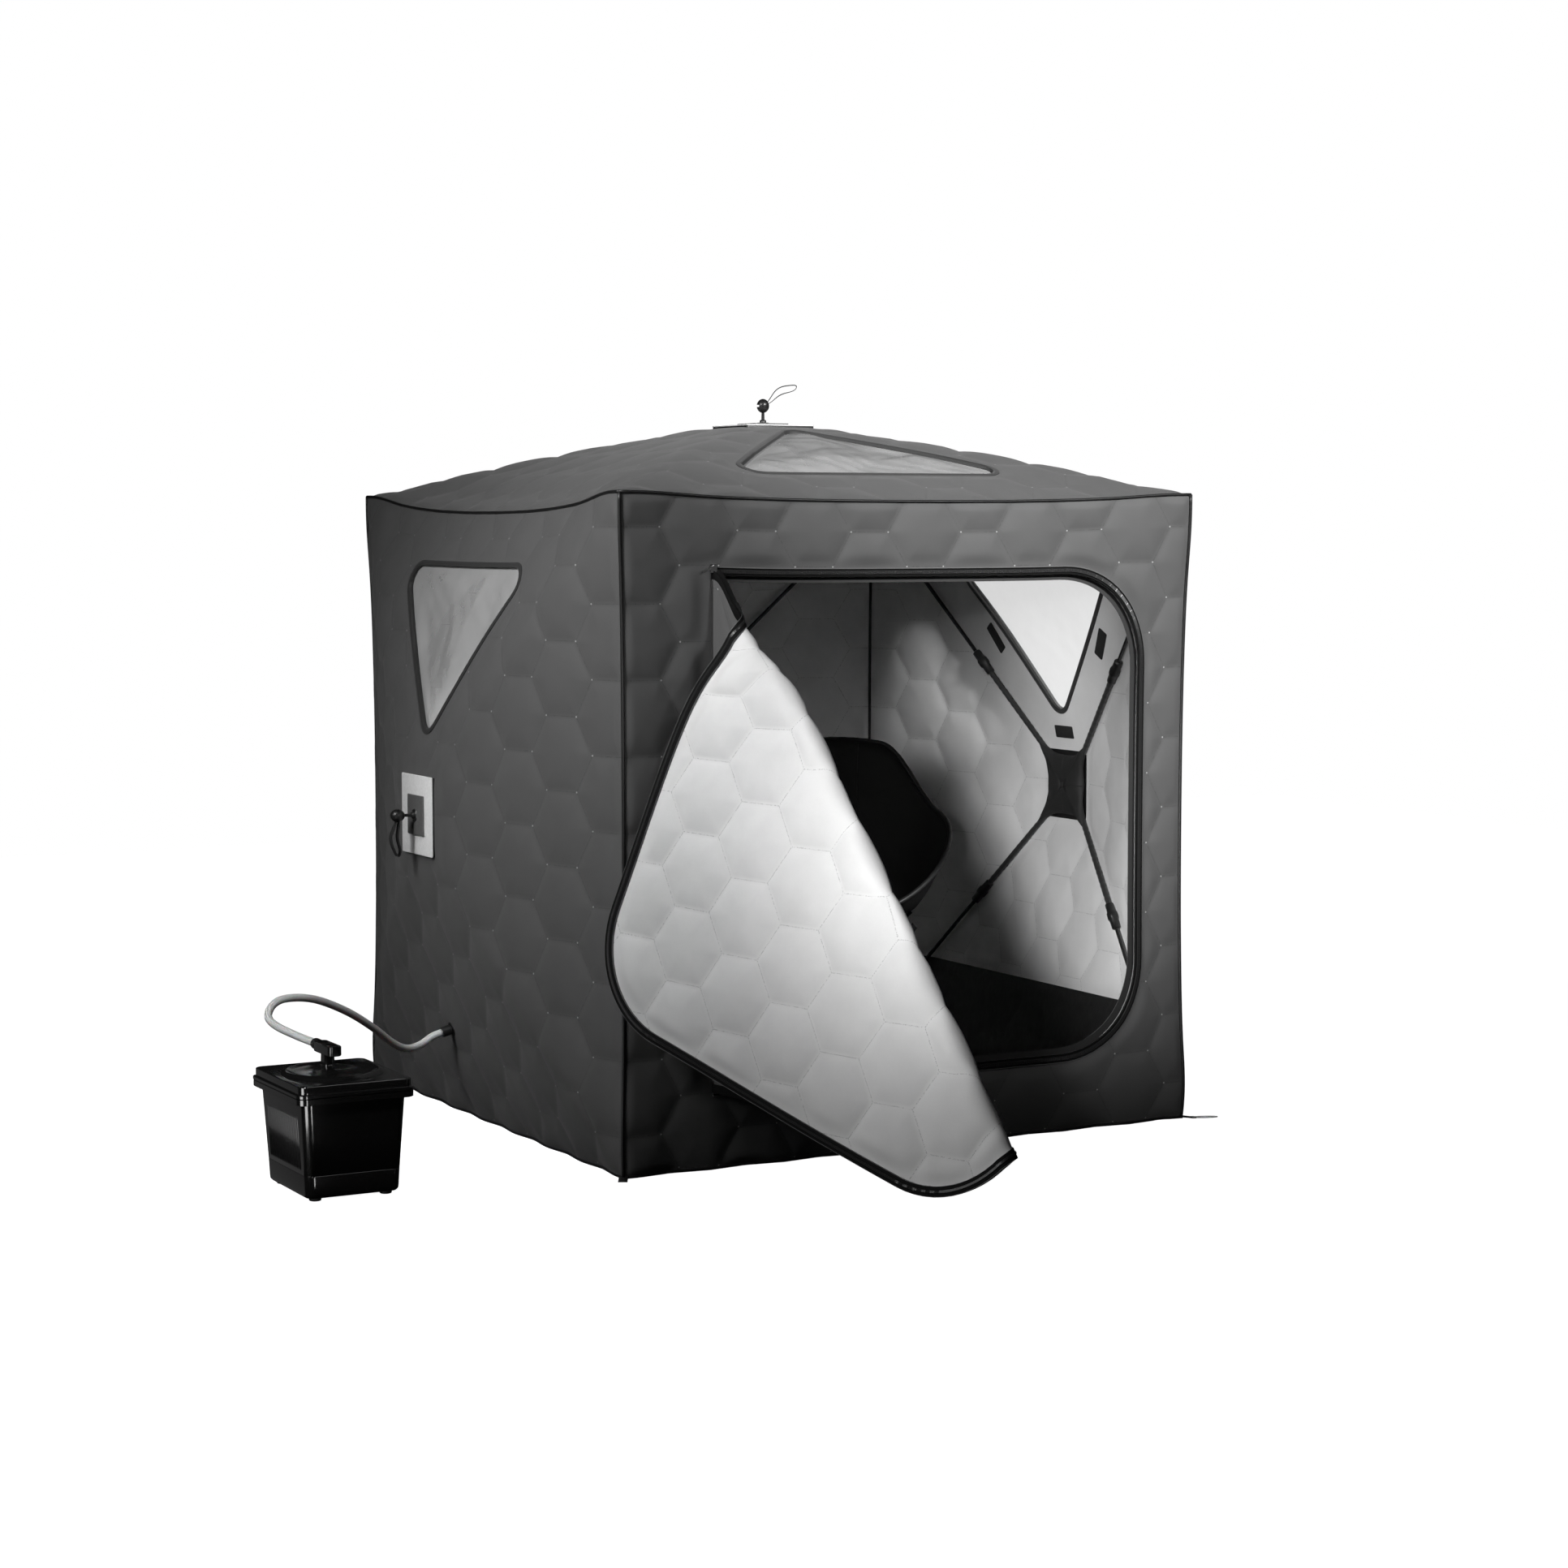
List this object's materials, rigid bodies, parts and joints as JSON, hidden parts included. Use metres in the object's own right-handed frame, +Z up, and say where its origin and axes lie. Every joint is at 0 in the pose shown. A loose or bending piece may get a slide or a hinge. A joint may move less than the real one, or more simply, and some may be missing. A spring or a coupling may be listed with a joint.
{
  "type": "portable steam sauna",
  "caption": "Pop-up fabric steam cabin with hub-and-pole walls, a folding zipped door, a steamer with hose and a folding tub chair.",
  "frame": {"origin": "centre of the cabin's footprint, on the ground under its floor", "axes": "+Z up, the door is in the -Y face, the steamer stands on the -X side"},
  "size_m": [2.6138, 2.8876, 1.8909],
  "materials": {
    "quilted_shell": "matte quilted polyester",
    "ground_sheet": "matte coated polyester",
    "window_film": "clear film",
    "zip_tape": "woven tape with coil teeth",
    "bright_metal": "brushed",
    "hub_plate": "satin sheet",
    "black_plastic": "moulded satin",
    "pole_rod": "drawn glass-fibre rod",
    "webbing": "woven webbing",
    "cuff_rubber": "moulded",
    "hose": "flexible satin",
    "gloss_shell": "high gloss",
    "chair_cloth": "woven with piping",
    "leg_tube": "powder coat"
  },
  "bodies": {
    "cabin": {"floor_panel": "ground_sheet", "front_wall": "quilted_shell", "left_wall": "quilted_shell", "right_wall": "quilted_shell", "back_wall": "quilted_shell", "roof_panel": "quilted_shell", "left_window": "window_film", "right_window": "window_film", "roof_window": "window_film", "zip_track": "zip_tape", "steam_port": "black_plastic", "steam_hose": "hose", "hose_cuff_port": "cuff_rubber", "steamer_base": "gloss_shell", "steamer_tank": "gloss_shell", "heating_element": "bright_metal", "power_inlet": "black_plastic"},
    "hub_left": {"hub_left": "black_plastic", "hub_plate_left": "hub_plate", "pull_strap_left": "webbing"},
    "pole_left_1": {"pole_left_1": "pole_rod"},
    "pole_left_2": {"pole_left_2": "pole_rod"},
    "pole_left_3": {"pole_left_3": "pole_rod"},
    "pole_left_4": {"pole_left_4": "pole_rod"},
    "hub_right": {"hub_right": "black_plastic", "hub_plate_right": "hub_plate", "pull_strap_right": "webbing"},
    "pole_right_1": {"pole_right_1": "pole_rod"},
    "pole_right_2": {"pole_right_2": "pole_rod"},
    "pole_right_3": {"pole_right_3": "pole_rod"},
    "pole_right_4": {"pole_right_4": "pole_rod"},
    "hub_back": {"hub_back": "black_plastic", "hub_plate_back": "hub_plate", "pull_strap_back": "webbing"},
    "pole_back_1": {"pole_back_1": "pole_rod"},
    "pole_back_2": {"pole_back_2": "pole_rod"},
    "pole_back_3": {"pole_back_3": "pole_rod"},
    "pole_back_4": {"pole_back_4": "pole_rod"},
    "hub_roof": {"hub_roof": "black_plastic", "hub_plate_roof": "hub_plate", "pull_strap_roof": "webbing"},
    "pole_roof_1": {"pole_roof_1": "pole_rod"},
    "pole_roof_2": {"pole_roof_2": "pole_rod"},
    "pole_roof_3": {"pole_roof_3": "pole_rod"},
    "pole_roof_4": {"pole_roof_4": "pole_rod"},
    "door_lower": {"door_lower": "quilted_shell"},
    "door_upper": {"door_upper": "quilted_shell"},
    "zip_slider": {"zip_slider": "bright_metal"},
    "lid": {"steamer_lid": "gloss_shell", "steam_outlet": "black_plastic", "hose_cuff_outlet": "cuff_rubber"},
    "power_button": {"power_button": "bright_metal"},
    "chair_pivot": {"chair_pivot_rod": "bright_metal"},
    "chair_seat": {"chair_seat": "chair_cloth", "chair_rim": "chair_cloth"},
    "chair_leg_outer": {"chair_leg_outer": "leg_tube"},
    "chair_leg_inner": {"chair_leg_inner": "leg_tube"}
  },
  "joints": [
    {"name": "hub_left_push", "type": "slide", "parent": "cabin", "child": "hub_left", "axis": [-1, 0, 0], "range_m": [-0.16, 0]},
    {"name": "pole_left_1_swing", "type": "hinge", "parent": "hub_left", "child": "pole_left_1", "pos_m": [-0.9664, -0.05657, 0.85657], "axis": [0, -0.7071, -0.7071], "range_deg": [-0.5, 9.8]},
    {"name": "pole_left_2_swing", "type": "hinge", "parent": "hub_left", "child": "pole_left_2", "pos_m": [-0.9664, 0.05657, 0.85657], "axis": [0, -0.7071, 0.7071], "range_deg": [-0.5, 9.8]},
    {"name": "pole_left_3_swing", "type": "hinge", "parent": "hub_left", "child": "pole_left_3", "pos_m": [-0.9664, 0.05657, 0.74343], "axis": [0, 0.7071, 0.7071], "range_deg": [-0.5, 9.8]},
    {"name": "pole_left_4_swing", "type": "hinge", "parent": "hub_left", "child": "pole_left_4", "pos_m": [-0.9664, -0.05657, 0.74343], "axis": [0, 0.7071, -0.7071], "range_deg": [-0.5, 9.8]},
    {"name": "hub_right_push", "type": "slide", "parent": "cabin", "child": "hub_right", "axis": [1, 0, 0], "range_m": [-0.16, 0]},
    {"name": "pole_right_1_swing", "type": "hinge", "parent": "hub_right", "child": "pole_right_1", "pos_m": [0.9664, 0.05657, 0.85657], "axis": [0, 0.7071, -0.7071], "range_deg": [-0.5, 9.8]},
    {"name": "pole_right_2_swing", "type": "hinge", "parent": "hub_right", "child": "pole_right_2", "pos_m": [0.9664, -0.05657, 0.85657], "axis": [0, 0.7071, 0.7071], "range_deg": [-0.5, 9.8]},
    {"name": "pole_right_3_swing", "type": "hinge", "parent": "hub_right", "child": "pole_right_3", "pos_m": [0.9664, -0.05657, 0.74343], "axis": [0, -0.7071, 0.7071], "range_deg": [-0.5, 9.8]},
    {"name": "pole_right_4_swing", "type": "hinge", "parent": "hub_right", "child": "pole_right_4", "pos_m": [0.9664, 0.05657, 0.74343], "axis": [0, -0.7071, -0.7071], "range_deg": [-0.5, 9.8]},
    {"name": "hub_back_push", "type": "slide", "parent": "cabin", "child": "hub_back", "axis": [0, 1, 0], "range_m": [-0.16, 0]},
    {"name": "pole_back_1_swing", "type": "hinge", "parent": "hub_back", "child": "pole_back_1", "pos_m": [-0.05657, 0.9664, 0.85657], "axis": [-0.7071, 0, -0.7071], "range_deg": [-0.5, 9.8]},
    {"name": "pole_back_2_swing", "type": "hinge", "parent": "hub_back", "child": "pole_back_2", "pos_m": [0.05657, 0.9664, 0.85657], "axis": [-0.7071, 0, 0.7071], "range_deg": [-0.5, 9.8]},
    {"name": "pole_back_3_swing", "type": "hinge", "parent": "hub_back", "child": "pole_back_3", "pos_m": [0.05657, 0.9664, 0.74343], "axis": [0.7071, 0, 0.7071], "range_deg": [-0.5, 9.8]},
    {"name": "pole_back_4_swing", "type": "hinge", "parent": "hub_back", "child": "pole_back_4", "pos_m": [-0.05657, 0.9664, 0.74343], "axis": [0.7071, 0, -0.7071], "range_deg": [-0.5, 9.8]},
    {"name": "hub_roof_push", "type": "slide", "parent": "cabin", "child": "hub_roof", "axis": [0, 0, 1], "range_m": [-0.16, 0]},
    {"name": "pole_roof_1_swing", "type": "hinge", "parent": "hub_roof", "child": "pole_roof_1", "pos_m": [0.05657, 0.05657, 1.7664], "axis": [0.7071, -0.7071, 0], "range_deg": [-0.5, 9.8]},
    {"name": "pole_roof_2_swing", "type": "hinge", "parent": "hub_roof", "child": "pole_roof_2", "pos_m": [-0.05657, 0.05657, 1.7664], "axis": [0.7071, 0.7071, 0], "range_deg": [-0.5, 9.8]},
    {"name": "pole_roof_3_swing", "type": "hinge", "parent": "hub_roof", "child": "pole_roof_3", "pos_m": [-0.05657, -0.05657, 1.7664], "axis": [-0.7071, 0.7071, 0], "range_deg": [-0.5, 9.8]},
    {"name": "pole_roof_4_swing", "type": "hinge", "parent": "hub_roof", "child": "pole_roof_4", "pos_m": [0.05657, -0.05657, 1.7664], "axis": [-0.7071, -0.7071, 0], "range_deg": [-0.5, 9.8]},
    {"name": "door_hinge", "type": "hinge", "parent": "cabin", "child": "door_lower", "pos_m": [-0.563, -0.8, 0.8], "axis": [0, 0, 1], "range_deg": [0, 79.6]},
    {"name": "door_fold", "type": "hinge", "parent": "door_lower", "child": "door_upper", "pos_m": [-0.54686, -0.93226, 1.405], "axis": [-0.1097, 0.5977, 0.7942], "range_deg": [0, 157.6]},
    {"name": "zip_run", "type": "slide", "parent": "cabin", "child": "zip_slider", "axis": [1, 0, 0], "range_m": [0, 0.95]},
    {"name": "lid_lift", "type": "slide", "parent": "cabin", "child": "lid", "axis": [0, 0, 1], "range_m": [0, 0.12]},
    {"name": "button_press", "type": "slide", "parent": "cabin", "child": "power_button", "axis": [0, -1, 0], "range_m": [0, 0.002], "stiffness_N_per_m": 500, "springref_m": -0.001},
    {"name": "chair_rise", "type": "slide", "parent": "cabin", "child": "chair_pivot", "axis": [0, 0, 1], "range_m": [0, 0.13]},
    {"name": "chair_leg_outer_cross", "type": "hinge", "parent": "chair_pivot", "child": "chair_leg_outer", "pos_m": [0.4, 0.3, 0.22325], "axis": [0.4772, 0.8788, 0], "range_deg": [-36.11, 0.3]},
    {"name": "chair_leg_inner_cross", "type": "hinge", "parent": "chair_pivot", "child": "chair_leg_inner", "pos_m": [0.4, 0.3, 0.22325], "axis": [0.4772, 0.8788, 0], "range_deg": [-0.3, 36.11]},
    {"name": "chair_seat_rise", "type": "slide", "parent": "chair_pivot", "child": "chair_seat", "axis": [0, 0, 1], "range_m": [0, 0.1]}
  ],
  "couplings": [
    {"joint": "pole_left_1_swing", "follows": "hub_left_push", "rad_per_m": -1.0087},
    {"joint": "pole_left_2_swing", "follows": "hub_left_push", "rad_per_m": -1.0087},
    {"joint": "pole_left_3_swing", "follows": "hub_left_push", "rad_per_m": -1.0087},
    {"joint": "pole_left_4_swing", "follows": "hub_left_push", "rad_per_m": -1.0087},
    {"joint": "pole_right_1_swing", "follows": "hub_right_push", "rad_per_m": -1.0087},
    {"joint": "pole_right_2_swing", "follows": "hub_right_push", "rad_per_m": -1.0087},
    {"joint": "pole_right_3_swing", "follows": "hub_right_push", "rad_per_m": -1.0087},
    {"joint": "pole_right_4_swing", "follows": "hub_right_push", "rad_per_m": -1.0087},
    {"joint": "pole_back_1_swing", "follows": "hub_back_push", "rad_per_m": -1.0087},
    {"joint": "pole_back_2_swing", "follows": "hub_back_push", "rad_per_m": -1.0087},
    {"joint": "pole_back_3_swing", "follows": "hub_back_push", "rad_per_m": -1.0087},
    {"joint": "pole_back_4_swing", "follows": "hub_back_push", "rad_per_m": -1.0087},
    {"joint": "pole_roof_1_swing", "follows": "hub_roof_push", "rad_per_m": -1.0087},
    {"joint": "pole_roof_2_swing", "follows": "hub_roof_push", "rad_per_m": -1.0087},
    {"joint": "pole_roof_3_swing", "follows": "hub_roof_push", "rad_per_m": -1.0087},
    {"joint": "pole_roof_4_swing", "follows": "hub_roof_push", "rad_per_m": -1.0087},
    {"joint": "chair_leg_outer_cross", "follows": "chair_rise", "rad_per_m": -4.8077},
    {"joint": "chair_leg_inner_cross", "follows": "chair_rise", "rad_per_m": 4.8077},
    {"joint": "chair_seat_rise", "follows": "chair_rise", "ratio": 0.75}
  ]
}
